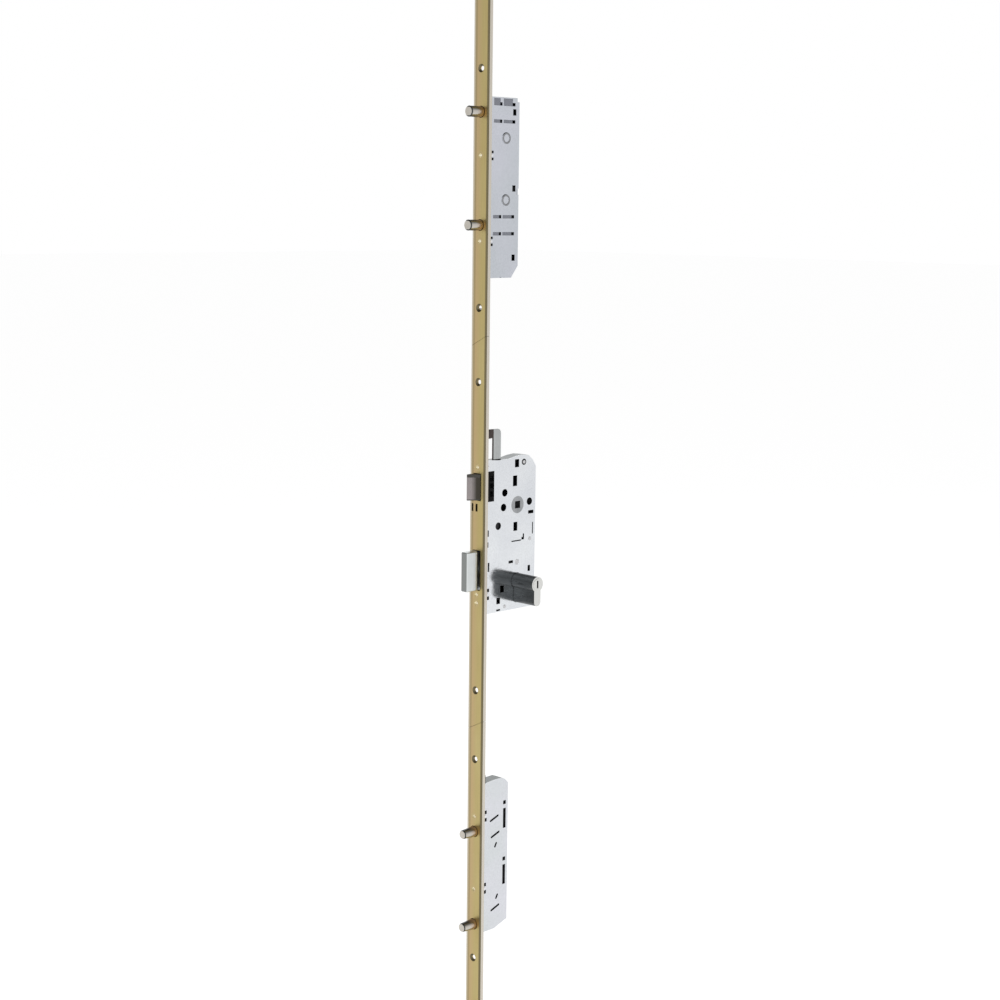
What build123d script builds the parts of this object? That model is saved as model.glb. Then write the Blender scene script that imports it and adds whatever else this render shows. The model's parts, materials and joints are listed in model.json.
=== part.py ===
from build123d import *
import math
import os

# Multipoint door lock. Lengths in millimetres, angles in degrees.
# X runs from the door's edge into the door and is zero at the back of the faceplate.
# Y runs across the door's thickness and is zero at mid-width. Z is up and is zero at the spindle.
# Every bolt is modelled thrown.

# Faceplate
strip_width = 22.0
strip_thick = 3.0
strip_depth = 6.0
flange_thick = 2.0
strip_above_spindle = 575.0
strip_below_spindle = 600.0
seam_below_upper_case = 67.0
lower_seam_depth = 242.0
seam_slant = 11.0
seam_gap = 0.3
fixing_hole_dia = 5.0
fixing_head_dia = 9.0
fixing_heights = (555.0, 468.0, 217.4, 138.0, -202.5, -281.0, -511.7, -580.0)
joint_plate_length = 70.0
joint_plate_thick = 2.0
joint_plate_width = 10.4
joint_rivet_dia = 4.0
joint_rivet_head_dia = 7.0

# Sheet cases, shared sizes
case_thick = 15.0
sheet = 1.2
case_screw_dia = 5.0
case_screw_head_dia = 8.6
block_depth = 9.0
block_height = 7.6
block_rivet_dia = 3.0
rivet_head_proud = 0.5
press_depth = 0.5

# Play between parts
running_gap = 0.5
layer_gap = 0.4
pin_play = 0.1
shaft_play = 0.05
thread_play = 0.03
overrun = 2.0

# Drive slides and rods
drive_travel = 22.0
slide_thick = 2.2
slide_to_cover = 1.3
rod_width = 5.0
rod_thick = 3.0
rod_behind_strip = 0.6
tenon_height = 14.0
stud_dia = 5.0
slot_margin = 3.4
carrier_thick = 2.5
carrier_width = 10.0

# Upper case and its two round bolts
upper_case_depth = 47.5
upper_low_bolt_height = 305.0
upper_bolt_spacing = 118.0
upper_case_above_bolt = 16.0
upper_case_below_bolt = 56.0
upper_bolt_dia = 11.5
upper_bolt_root_dia = 11.3
upper_bolt_nose_dia = 9.6
upper_bolt_nose_length = 1.0
upper_bolt_throw = 18.0
upper_stud_offset = 39.5
upper_block_offset = 17.0
upper_high_block_offset = 45.0

# Lower case and its two tapered bolts
lower_high_bolt_depth = 364.0
lower_bolt_spacing = 108.0
lower_case_above_bolt = 54.0
lower_case_below_bolt = 10.0
lower_bolt_dia = 12.0
lower_bolt_nose_dia = 8.6
lower_bolt_nose_length = 1.2
lower_bolt_throw = 18.0
lower_stud_offset = 38.0
lower_block_offset = 17.0
lower_low_block_offset = 41.0

# Centre case
centre_case_above = 53.0
centre_case_below = 117.0
centre_top_points = ((80.0, -12.0), (75.2, -4.8), (68.6, 0.9), (58.8, 2.0), (49.7, 1.2), (38.0, -1.0), (22.0, -1.2),
                     (8.0, 0.0))
centre_case_depth = centre_top_points[0][0]
upper_block_height = 45.4
lower_block_depth = 95.0

# Latch
latch_height_mid = 24.0
latch_height = 28.6
latch_thick = 10.4
latch_throw = 11.0
latch_play = 0.7
guide_depth = 15.3
guide_wall = 1.4
latch_tail_thick = 2.0
latch_tail_height = 9.0
latch_spring_dia = 5.0
latch_spring_wire = 0.7
latch_spring_turns = 9
latch_spring_length = 31.0

# Follower, turned by the handle's spindle
backset_from_seat = 52.0
spindle_square = 8.0
follower_journal_dia = 19.0
follower_hub_dia = 22.0
follower_arm_half_width = 2.0
follower_arm_length = 21.8
follower_arm_thick = 3.2
follower_arm_lean = 16.0
follower_stud_radius_on_arm = 19.1
follower_stud_dia = 4.0
follower_contact_play = 0.35
follower_spring_wire = 1.2

# Deadbolt
deadbolt_mid_depth = 67.8
deadbolt_height = 43.6
deadbolt_thick = 9.6
deadbolt_throw = 19.0
deadbolt_root_length = 3.5
deadbolt_inside = 8.0
deadbolt_opening_play = 1.0
deadbolt_stud_height = -60.0
deadbolt_stud_x = 18.5
deadbolt_tail_thick = 3.0

# Gear train
gear_module = 1.4
pressure_angle = 25.0
cam_teeth = 10
pinion_teeth = 10
wheel_teeth = 20
addendum_share = 0.8
dedendum_share = 1.05
backlash = 0.22
gear_thick = 3.0
gear_axle_dia = 6.0

# Profile cylinder
spindle_to_cylinder = 85.0
cylinder_outer_length = 40.0
cylinder_inner_length = 35.0
cylinder_round_dia = 17.0
cylinder_web = 10.0
cylinder_profile_height = 33.0
cylinder_gap = 10.6
plug_dia = 13.0
plug_proud = 0.4
keyway_width = 2.2
keyway_height = 8.4
keyway_depth = 26.0
cam_width = 9.8
cam_hub_dia = 11.0
cylinder_screw_dia = 5.0
cylinder_screw_drop = 19.5
cylinder_case_play = 0.4

# Small features of the sheet cases
block_rivet_place_share = 0.80
boss_proud = 0.9
boss_dia = 12.5
boss_edge_share = 0.5
boss_dish_share = 0.66
boss_offset = 26.5
upper_boss_place_share = 0.59
guide_slot_offset = 9.0
guide_slot_height = 3.4
upper_guide_slot_shares = ((0.40, 0.46), (0.79, 0.87))
upper_pressed_shares = ((0.20, 0.40), (0.50, 0.79))
upper_tab_hole_height_shares = (0.921, 0.500, 0.113)
tab_hole_shares = (0.80, 0.90)
tab_hole_height = 6.5
edge_notch_depth = 2.6
bottom_slit_shares = (0.26, 0.47)
bottom_slit_height = 1.1
upper_step_back = 3.0
upper_step_drop = 4.2
upper_guide_rim = 1.2
upper_corner_back = 10.0
upper_corner_rise = 12.7
lower_top_points = ((42.5, -5.0), (37.4, 0.2), (32.0, 2.2), (18.0, 1.7), (6.0, 0.6))
lower_corner_back = 10.5
lower_corner_drop = 7.2
lower_foot_back = 20.0
lower_foot_rise = 7.0
lower_window_shares = (0.825, 0.925)
lower_window_start = 25.0
lower_window_pitch = 66.0
short_window_height = 4.4
window_bridge = 4.6
long_window_height = 23.0
lance_length = 14.5
lance_width = 2.4
lance_turn = 20.0
tick_length = 6.5
tick_turn = 62.0
lower_lance_shares = ((0.50, 0.247), (0.54, 0.359), (0.56, 0.858))
lower_tick_shares = ((0.56, 0.430), (0.62, 0.785))
rivet_mark_depth = 9.4
rivet_mark_gap = 0.8
upper_rivet_mark_height = 2.6
lower_rivet_mark_height = 4.0
rod_to_block = 1.5

# Small features of the bolts and slides
bolt_reach_share = 0.1
root_step = 0.2
carrier_front_x = 2.5
carrier_arm = 6.0
lower_bolt_tip_dia = 9.8
slide_back_gap = 1.0
slide_bar_width = 9.8
foot_height = 19.0
centre_foot_height = 11.0
foot_bar_back_x = 22.0
rack_overlap = 6.0
hook_front_x = 16.2
hook_width = 11.5
hook_above_case = 33.0
hook_arm_height = 9.7
hook_rounding = 5.0
lug_length = 6.8
lug_inset_share = 0.25
lug_cheek = 1.4
tongue_length = 4.0
tongue_inset = 1.6

# Small features of the centre case
post_dia = 6.0
post_neck_dia = 4.0
post_ring_dia = 7.0
post_shares = ((0.766, 0.964), (0.90, 0.453), (0.906, 0.041), (0.419, 0.029))
rose_hole_dia = 8.4
centre_round_shares = ((0.40, 0.777), (0.378, 0.682), (0.280, 0.565), (0.882, 0.700))
centre_window_shares = (
    (0.590, 0.670, 0.934, 0.986),
    (0.555, 0.636, 0.812, 0.881),
    (0.575, 0.650, 0.518, 0.576),
    (0.540, 0.725, 0.447, 0.455),
    (0.735, 0.785, 0.453, 0.470),
    (0.760, 0.785, 0.470, 0.492),
    (0.488, 0.575, 0.308, 0.326),
    (0.865, 0.912, 0.236, 0.276),
    (0.088, 0.118, 0.276, 0.335),
    (0.330, 0.405, 0.126, 0.171),
    (0.260, 0.330, 0.053, 0.094),
    (0.260, 0.334, 0.006, 0.018),
    (0.860, 0.965, 0.618, 0.640),
    (0.942, 0.960, 0.482, 0.559),
    (-0.010, 0.100, 0.506, 0.547),
    (-0.010, 0.095, 0.435, 0.470),
)
spring_stop_dia = 4.0
spring_stop_reach = 2.2

# Small features of the latch, follower and deadbolt
latch_inside = 3.0
latch_nose_share = 0.16
latch_land = 0.4
latch_nose_rounding = 0.6
latch_edge_chamfer = 0.4
latch_tail_grip = 3.0
latch_spring_drop = 6.0
latch_spring_y = 0.2
guide_play = 0.3
guide_rib_shares = ((0.16, 0.34), (0.44, 0.60), (0.68, 0.84))
guide_window_share = 0.62
latch_window_gap = 4.3
latch_window_height = 8.4
latch_window_shares = ((-0.04, 0.10), (0.25, 0.38))
return_arm_length = 20.0
return_arm_half_width = 3.0
return_spring_length = 18.0
return_spring_drop = 16.0
return_spring_dia = 6.0
return_spring_turns = 5
deadbolt_rounding = 1.8
deadbolt_edge_chamfer = 0.8
tail_grip = 5.0

# Small features of the gears, cylinder and faceplate
flank_steps = 4
half_turn = 180.0
right_angle = 90.0
gear_hub_dia = 9.0
gear_end_play = 0.4
cam_hub_length = 3.0
strip_edge_chamfer = 0.5
blind_hole_share = 0.7
joint_rivet_shares = (-0.38, -0.17, 0.17, 0.38)
joint_rivet_head_height = 1.2
recess_arm_share = 0.27
recess_width_share = 0.11
recess_depth_share = 0.8

# Values worked out from the sizes above
half_case = case_thick / 2
inner_half = half_case - sheet
slide_low_y = -inner_half + slide_to_cover
slide_high_y = slide_low_y + slide_thick
carrier_low_y = slide_high_y + layer_gap
carrier_high_y = carrier_low_y + carrier_thick
rod_front_x = rod_behind_strip
rod_back_x = rod_front_x + rod_thick
rod_high_y = slide_high_y
rod_low_y = rod_high_y - rod_width
front_x = -strip_thick
slide_front_x = block_depth + running_gap
stud_x = slide_front_x + carrier_width / 2
pitch_share = gear_module / 2
cylinder_z = -spindle_to_cylinder
cylinder_x = backset_from_seat
pinion_radius = pitch_share * pinion_teeth
wheel_radius = pitch_share * wheel_teeth
cam_radius = pitch_share * cam_teeth
gear_x = cylinder_x
gear_z = cylinder_z + cam_radius + wheel_radius
rack_x = gear_x - pinion_radius
addendum = addendum_share * gear_module
dedendum = dedendum_share * gear_module


# Shared shapes
def rect(x_low, x_high, z_low, z_high):
    """Rectangle in the side view, from its X and Z limits."""
    centre = Pos((x_low + x_high) / 2, (z_low + z_high) / 2)
    return centre * Rectangle(x_high - x_low, z_high - z_low)


def disc(x, z, diameter):
    """Circle in the side view."""
    return Pos(x, z) * Circle(diameter / 2)


def outline(*points):
    """Closed straight-sided outline in the side view."""
    return Polygon(*points, align=None)


def slab(shape, y_low, y_high):
    """Plate cut to a side-view shape, between two places across the door."""
    return extrude(Plane.XZ.offset(-y_high) * shape, y_high - y_low)


def block(x_low, x_high, y_low, y_high, z_low, z_high):
    """Plain block from its limits."""
    return slab(rect(x_low, x_high, z_low, z_high), y_low, y_high)


def rod_x(x_low, x_high, y, z, diameter):
    """Round bar along X."""
    return extrude(Plane.YZ.offset(x_low) * (Pos(y, z) * Circle(diameter / 2)), x_high - x_low)


def rod_y(x, z, y_low, y_high, diameter):
    """Round bar along Y."""
    return slab(disc(x, z, diameter), y_low, y_high)


def cone_x(x_low, x_high, z, low_dia, high_dia):
    """Cone along X at mid-width, from one diameter to another."""
    profile = outline((x_low, 0), (x_high, 0), (x_high, high_dia / 2), (x_low, low_dia / 2))
    return Pos(0, 0, z) * revolve(Plane.XZ * profile, Axis.X)


def slanted_slot(x, z, run, rise, width):
    """Slot in the side view for a stud that moves by run while its slide moves by rise."""
    length = math.hypot(run, rise)
    turn = math.degrees(math.atan2(rise, run))
    return Pos(x + run / 2, z + rise / 2) * Rot(0, 0, turn) * SlotCenterToCenter(length, width)


def flat_screw(z, shank_dia, head_dia, tip_x):
    """Countersunk screw driven through the faceplate, with a cross recess."""
    head_height = (head_dia - shank_dia) / 2
    screw = cone_x(front_x, front_x + head_height, z, head_dia, shank_dia)
    screw += rod_x(front_x + head_height, tip_x, 0, z, shank_dia)
    arm = head_dia * recess_arm_share
    width = head_dia * recess_width_share
    depth = head_height * recess_depth_share
    for half_y, half_z in ((arm, width), (width, arm)):
        screw -= block(front_x - overrun, front_x + depth, -half_y, half_y, z - half_z, z + half_z)
    return screw


def countersunk_hole(z, shank_dia, head_dia):
    """Cutter for a countersunk hole through the faceplate."""
    head_height = (head_dia - shank_dia) / 2
    cutter = cone_x(front_x, front_x + head_height, z, head_dia, shank_dia)
    return cutter + rod_x(front_x - overrun, overrun, 0, z, shank_dia)


# Cases
def case_outline(front, low, high, top_shape, low_corner):
    """Side view of a case. Its top is given by points, each as depth and rise, from the back forwards."""
    depth = top_shape[0][0]
    points = [(front, low)]
    if low_corner[0] > 0:
        points += [(depth - low_corner[0], low), (depth, low + low_corner[1])]
    else:
        points += [(depth, low)]
    points += [(x, high + rise) for x, rise in top_shape]
    return outline(*points, (front, high + top_shape[-1][1]))


def case_pan(low, high, top_shape, low_corner):
    """Base and folded rim of a case, open towards the faceplate and the cover."""
    outer = case_outline(0, low, high, top_shape, low_corner)
    longer = case_outline(-overrun, low, high, top_shape, low_corner)
    inner = offset(longer, amount=-sheet, kind=Kind.INTERSECTION)
    pan = slab(outer, -inner_half, half_case)
    return pan - slab(inner, -inner_half - overrun, inner_half)


def case_lid(low, high, top_shape, low_corner):
    """Flat cover of a case."""
    return slab(case_outline(0, low, high, top_shape, low_corner), -half_case, -inner_half)


def through_lid(shape):
    """Cutter through a cover."""
    return slab(shape, -half_case - overrun, -inner_half + overrun)


def lid_recess(shape):
    """Cutter for a shallow pressed area in a cover's outer face."""
    return slab(shape, -half_case - overrun, -half_case + press_depth)


def share_rect(shares, depth, low, high):
    """Rectangle placed by shares of a case's depth and height."""
    x_low, x_high, z_low, z_high = shares
    height = high - low
    return rect(depth * x_low, depth * x_high, low + height * z_low, low + height * z_high)


def fixing_block(z):
    """Threaded block riveted between a case's two sides, which takes a screw through the faceplate."""
    body = block(0, block_depth, -inner_half, inner_half, z - block_height / 2, z + block_height / 2)
    x = block_depth * block_rivet_place_share
    reach = half_case + rivet_head_proud
    body += rod_y(x, z, -reach, reach, block_rivet_dia)
    return body - rod_x(-overrun, block_depth + overrun, 0, z, case_screw_dia + thread_play * 2)


def rivet_marks(heights, mark_height):
    """Cutters above and below the block rivets, in from a cover's front edge."""
    offset = block_rivet_dia / 2 + rivet_mark_gap + mark_height / 2
    marks = []
    for z in heights:
        for middle in (z - offset, z + offset):
            marks.append(through_lid(rect(-overrun, rivet_mark_depth, middle - mark_height / 2,
                                          middle + mark_height / 2)))
    return marks


def block_rivet_holes(heights):
    """Cutters for the rivets of the fixing blocks, through both sides of a case."""
    x = block_depth * block_rivet_place_share
    return [rod_y(x, z, -half_case - overrun, half_case + overrun, block_rivet_dia) for z in heights]


def rod_notch(z_low, z_high):
    """Cutter that frees a rod at a case's front corner."""
    return block(-overrun, rod_back_x + running_gap, -half_case - overrun,
                 rod_high_y + running_gap, z_low, z_high)


def raised_boss(x, z):
    """Ring-shaped boss pressed outwards in a cover."""
    face = -half_case
    ring = rod_y(x, z, face - boss_proud, face, boss_dia)
    edge = ring.edges().filter_by(GeomType.CIRCLE).sort_by(Axis.Y)[0]
    ring = chamfer(edge, boss_proud * boss_edge_share)
    dish_floor = face - boss_proud * boss_edge_share
    return ring - rod_y(x, z, face - overrun, dish_floor, boss_dia * boss_dish_share)


# Round bolts of the two outer cases
def round_bolt(z, diameter, nose_dia, nose_length, throw, shank_root_dia, root_dia):
    """Turned bolt through the faceplate, slotted at its inner end for its carrier."""
    tip_x = front_x - throw
    back_x = slide_front_x + carrier_width * bolt_reach_share
    bolt = rod_x(front_x - root_step, back_x, 0, z, root_dia)
    bolt += cone_x(tip_x + nose_length, front_x - root_step, z, diameter, shank_root_dia)
    bolt += cone_x(tip_x, tip_x + nose_length, z, nose_dia, diameter)
    slot = block(carrier_front_x, back_x + overrun, carrier_low_y, carrier_high_y,
                 z - root_dia, z + root_dia)
    return bolt - slot


def bolt_carrier(z, stud_z):
    """Plate riveted in a bolt's slot, with the stud that runs in the drive slide."""
    toward = math.copysign(1, stud_z - z)
    arm = rect(carrier_front_x, slide_front_x + carrier_width, z - carrier_arm / 2, z + carrier_arm / 2)
    stem_low, stem_high = sorted((z - toward * carrier_arm / 2, stud_z + toward * carrier_width / 2))
    stem = rect(slide_front_x, slide_front_x + carrier_width, stem_low, stem_high)
    plate = slab(Sketch() + [arm, stem], carrier_low_y, carrier_high_y)
    return plate + rod_y(stud_x, stud_z, slide_low_y - layer_gap, carrier_low_y, stud_dia)


def cam_slot(stud_z, throw):
    """Cutter for the slanted slot that draws a bolt in."""
    shape = slanted_slot(stud_x, stud_z, throw, drive_travel, stud_dia + pin_play * 2)
    return slab(shape, slide_low_y - overrun, slide_high_y + overrun)


# Upper module
upper_high_bolt = upper_low_bolt_height + upper_bolt_spacing
upper_case_low = upper_low_bolt_height - upper_case_below_bolt
upper_case_high = upper_high_bolt + upper_case_above_bolt
upper_studs = (upper_low_bolt_height + upper_stud_offset, upper_high_bolt - upper_stud_offset)
upper_blocks = (upper_low_bolt_height - upper_block_offset, upper_high_bolt - upper_high_block_offset)
upper_step_x = upper_case_depth - upper_step_back
upper_top_shape = ((upper_case_depth, -upper_step_drop), (upper_step_x, -upper_step_drop), (upper_step_x, 0))
upper_corner = (upper_corner_back, upper_corner_rise)
upper_rod_top = upper_blocks[0] - block_height / 2 - rod_to_block


def make_upper_case_body():
    """Pan of the upper case, with a notch for the rod and its slide."""
    pan = case_pan(upper_case_low, upper_case_high, upper_top_shape, upper_corner)
    pan -= rod_notch(upper_case_low - overrun, upper_rod_top + overrun)
    pan -= block(-overrun, slide_front_x + running_gap, slide_low_y - running_gap,
                 slide_high_y + running_gap, upper_case_low - overrun, upper_case_low + overrun)
    return pan - block_rivet_holes(upper_blocks)


def make_upper_case_cover():
    """Cover of the upper case, with its pressed guides, tab holes and two bosses."""
    depth, low, high = upper_case_depth, upper_case_low, upper_case_high
    lid = case_lid(low, high, upper_top_shape, upper_corner)
    for boss_z in (upper_low_bolt_height + boss_offset, upper_high_bolt - boss_offset):
        lid += raised_boss(depth * upper_boss_place_share, boss_z)
    rows = [bolt_z + side * guide_slot_offset
            for bolt_z in (upper_low_bolt_height, upper_high_bolt) for side in (-1, 1)]
    for z in rows:
        for x_low, x_high in upper_guide_slot_shares:
            lid -= through_lid(rect(depth * x_low, depth * x_high,
                                    z - guide_slot_height / 2, z + guide_slot_height / 2))
        top = high - upper_guide_rim if z == rows[-1] else z + guide_slot_height / 2
        for x_low, x_high in upper_pressed_shares:
            lid -= lid_recess(rect(depth * x_low, depth * x_high, z - guide_slot_height / 2, top))
    for share in upper_tab_hole_height_shares:
        z = low + (high - low) * share
        lid -= through_lid(rect(depth * tab_hole_shares[0], depth * tab_hole_shares[1],
                                z - tab_hole_height / 2, z + tab_hole_height / 2))
    edge_z = low + (high - low) * upper_tab_hole_height_shares[1]
    lid -= through_lid(rect(depth - edge_notch_depth, depth + overrun,
                            edge_z - tab_hole_height, edge_z))
    lid -= through_lid(rect(depth * bottom_slit_shares[0], depth * bottom_slit_shares[1],
                            low - overrun, low + bottom_slit_height))
    lid -= rivet_marks(upper_blocks, upper_rivet_mark_height)
    lid -= rod_notch(low - overrun, upper_rod_top + overrun)
    return lid - block_rivet_holes(upper_blocks)


def make_upper_slide():
    """Drive slide of the upper case: foot to the rod, back bar and plate with two slanted slots."""
    back = upper_case_depth - sheet - slide_back_gap
    bar_front = back - slide_bar_width
    foot_low = upper_case_low + sheet + drive_travel + slide_back_gap
    foot_high = upper_low_bolt_height - upper_bolt_dia / 2 - running_gap * 2
    plate_low = upper_low_bolt_height + upper_bolt_dia / 2 + drive_travel + running_gap * 2
    plate_high = upper_studs[1] + drive_travel + stud_dia / 2 + slot_margin
    foot_corner = upper_corner_back + slide_back_gap
    shape = Sketch() + [
        outline((slide_front_x, foot_low), (back - foot_corner, foot_low),
                (back, foot_low + upper_corner_rise), (back, foot_high), (slide_front_x, foot_high)),
        rect(bar_front, back, foot_low + upper_corner_rise, plate_high),
        rect(slide_front_x, back, plate_low, plate_high),
        rect(rod_back_x, slide_front_x, upper_rod_top - foot_height, upper_rod_top),
        rect(rod_front_x, rod_back_x, upper_rod_top - foot_height / 2 - tenon_height / 2,
             upper_rod_top - foot_height / 2 + tenon_height / 2),
    ]
    slide = slab(shape, slide_low_y, slide_high_y)
    return slide - [cam_slot(z, upper_bolt_throw) for z in upper_studs]


# Lower module
lower_high_bolt = -lower_high_bolt_depth
lower_low_bolt = lower_high_bolt - lower_bolt_spacing
lower_case_low = lower_low_bolt - lower_case_below_bolt
lower_case_high = lower_high_bolt + lower_case_above_bolt
lower_studs = (lower_low_bolt + lower_stud_offset, lower_high_bolt - lower_stud_offset)
lower_blocks = (lower_low_bolt + lower_low_block_offset, lower_high_bolt + lower_block_offset)
lower_case_depth = lower_top_points[0][0]
lower_corner = (lower_foot_back, lower_foot_rise)
lower_rod_bottom = lower_blocks[1] + block_height / 2 + drive_travel + rod_to_block


def make_lower_case_body():
    """Pan of the lower case, with a notch for the rod and its slide."""
    pan = case_pan(lower_case_low, lower_case_high, lower_top_points, lower_corner)
    pan -= rod_notch(lower_rod_bottom - drive_travel - overrun, lower_case_high + overrun)
    pan -= block(-overrun, slide_front_x + running_gap, slide_low_y - running_gap,
                 slide_high_y + running_gap, lower_case_high - overrun, lower_case_high + overrun)
    return pan - block_rivet_holes(lower_blocks)


def make_lower_case_cover():
    """Cover of the lower case, with two pairs of windows and its slanted lanced slots."""
    depth, low, high = lower_case_depth, lower_case_low, lower_case_high
    lid = case_lid(low, high, lower_top_points, lower_corner)
    x_low, x_high = (depth * share for share in lower_window_shares)
    for start in (lower_window_start, lower_window_start + lower_window_pitch):
        top = high - start
        lid -= through_lid(rect(x_low, x_high, top - short_window_height, top))
        long_top = top - short_window_height - window_bridge
        lid -= through_lid(rect(x_low, x_high, long_top - long_window_height, long_top))
    for x_share, drop_share in lower_lance_shares:
        mark = SlotOverall(lance_length, lance_width, rotation=lance_turn)
        lid -= through_lid(Pos(depth * x_share, high - (high - low) * drop_share) * mark)
    for x_share, drop_share in lower_tick_shares:
        mark = SlotOverall(tick_length, lance_width, rotation=tick_turn)
        lid -= through_lid(Pos(depth * x_share, high - (high - low) * drop_share) * mark)
    lid -= rivet_marks(lower_blocks, lower_rivet_mark_height)
    lid -= rod_notch(lower_rod_bottom - drive_travel - overrun, high + overrun)
    return lid - block_rivet_holes(lower_blocks)


def make_lower_slide():
    """Drive slide of the lower case: foot to the rod, back bar and plate with two slanted slots."""
    back = lower_case_depth - sheet - slide_back_gap
    bar_front = back - slide_bar_width
    foot_high = lower_case_high - sheet - slide_back_gap
    foot_low = lower_high_bolt + lower_bolt_dia / 2 + drive_travel + running_gap
    plate_low = lower_low_bolt + lower_bolt_dia / 2 + drive_travel + running_gap * 2
    plate_high = lower_studs[1] + drive_travel + stud_dia / 2 + slot_margin
    foot_corner = lower_corner_back + slide_back_gap
    shape = Sketch() + [
        outline((slide_front_x, foot_low), (back, foot_low), (back, foot_high - lower_corner_drop),
                (back - foot_corner, foot_high), (slide_front_x, foot_high)),
        rect(bar_front, back, plate_low, foot_high - lower_corner_drop),
        rect(slide_front_x, back, plate_low, plate_high),
        rect(rod_back_x, slide_front_x, lower_rod_bottom - rod_to_block, lower_rod_bottom + foot_height),
        rect(rod_front_x, rod_back_x, lower_rod_bottom + foot_height / 2 - tenon_height / 2,
             lower_rod_bottom + foot_height / 2 + tenon_height / 2),
    ]
    slide = slab(shape, slide_low_y, slide_high_y)
    return slide - [cam_slot(z, lower_bolt_throw) for z in lower_studs]


# Centre module
centre_low = -centre_case_below
centre_high = centre_case_above
centre_corner = (0, 0)
centre_blocks = (upper_block_height, -lower_block_depth)
deadbolt_z = -deadbolt_mid_depth
deadbolt_low = deadbolt_z - deadbolt_height / 2
deadbolt_high = deadbolt_z + deadbolt_height / 2
latch_low = latch_height_mid - latch_height / 2
latch_high = latch_height_mid + latch_height / 2
lower_rod_top = -lower_block_depth - block_height / 2 - rod_to_block
upper_rod_bottom = upper_block_height + block_height / 2 + drive_travel + rod_to_block


def cylinder_profile(play):
    """Euro profile in the side view, grown all round by a play."""
    radius = cylinder_round_dia / 2 + play
    half_web = cylinder_web / 2 + play
    low_z = cylinder_z + cylinder_round_dia / 2 - cylinder_profile_height + cylinder_web / 2
    shape = Sketch() + [
        disc(cylinder_x, cylinder_z, radius * 2),
        rect(cylinder_x - half_web, cylinder_x + half_web, low_z, cylinder_z),
        disc(cylinder_x, low_z, half_web * 2),
    ]
    return shape


def centre_side_cutters():
    """Cutters through both sides of the centre case: follower, cylinder, posts and blocks."""
    reach = half_case + overrun
    cutters = [
        rod_y(cylinder_x, 0, -reach, reach, follower_journal_dia + shaft_play * 2),
        slab(cylinder_profile(cylinder_case_play), -reach, reach),
        rod_y(gear_x, gear_z, -reach, reach, gear_axle_dia),
    ]
    cutters += [rod_y(x, z, -reach, reach, post_neck_dia) for x, z in post_places()]
    return cutters + block_rivet_holes(centre_blocks)


def post_places():
    """Centres of the posts that tie the two sides of the centre case."""
    height = centre_high - centre_low
    return [(centre_case_depth * x_share, centre_low + height * z_share)
            for x_share, z_share in post_shares]


def make_centre_case_body():
    """Pan of the centre case, with the slits that the drive slide and rods pass through."""
    pan = case_pan(centre_low, centre_high, centre_top_points, centre_corner)
    pan -= rod_notch(centre_low - overrun, lower_rod_top + overrun)
    pan -= rod_notch(upper_rod_bottom - drive_travel - overrun, centre_high + overrun)
    slit_low_y, slit_high_y = slide_low_y - running_gap, slide_high_y + running_gap
    pan -= block(-overrun, foot_bar_back_x + running_gap, slit_low_y, slit_high_y,
                 centre_low - overrun, centre_low + overrun)
    pan -= block(hook_front_x - running_gap, hook_front_x + hook_width + running_gap,
                 slit_low_y, slit_high_y, centre_high - overrun * 2, centre_high + overrun)
    pan -= centre_side_cutters()
    for x_share, z_share in centre_round_shares:
        x = centre_case_depth * x_share
        z = centre_low + (centre_high - centre_low) * z_share
        pan -= rod_y(x, z, inner_half - overrun, half_case + overrun, rose_hole_dia)
    return pan


def make_centre_case_cover():
    """Cover of the centre case, with the latch guide's window and its many cut-outs."""
    depth, low, high = centre_case_depth, centre_low, centre_high
    lid = case_lid(low, high, centre_top_points, centre_corner)
    lid -= through_lid(rect(-overrun, guide_depth + guide_play, guide_low_z - guide_play,
                            guide_high_z + guide_play))
    for shares in centre_window_shares:
        lid -= through_lid(share_rect(shares, depth, low, high))
    for x_share, z_share in centre_round_shares:
        lid -= through_lid(disc(depth * x_share, low + (high - low) * z_share, rose_hole_dia))
    lid -= rod_notch(low - overrun, lower_rod_top + overrun)
    lid -= rod_notch(upper_rod_bottom - drive_travel - overrun, high + overrun)
    lid -= rivet_marks(centre_blocks[1:], lower_rivet_mark_height)
    lid -= lid_recess(disc(*post_places()[0], post_ring_dia))
    return lid - centre_side_cutters()


def make_centre_posts():
    """Shouldered posts between the sides of the centre case, with riveted ends."""
    posts = []
    for x, z in post_places():
        post = rod_y(x, z, -inner_half, inner_half, post_dia)
        reach = half_case + rivet_head_proud
        posts.append(post + rod_y(x, z, -reach, reach, post_neck_dia))
    axle = rod_y(gear_x, gear_z, -half_case, half_case, gear_axle_dia)
    return Compound(children=posts + [axle])


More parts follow.
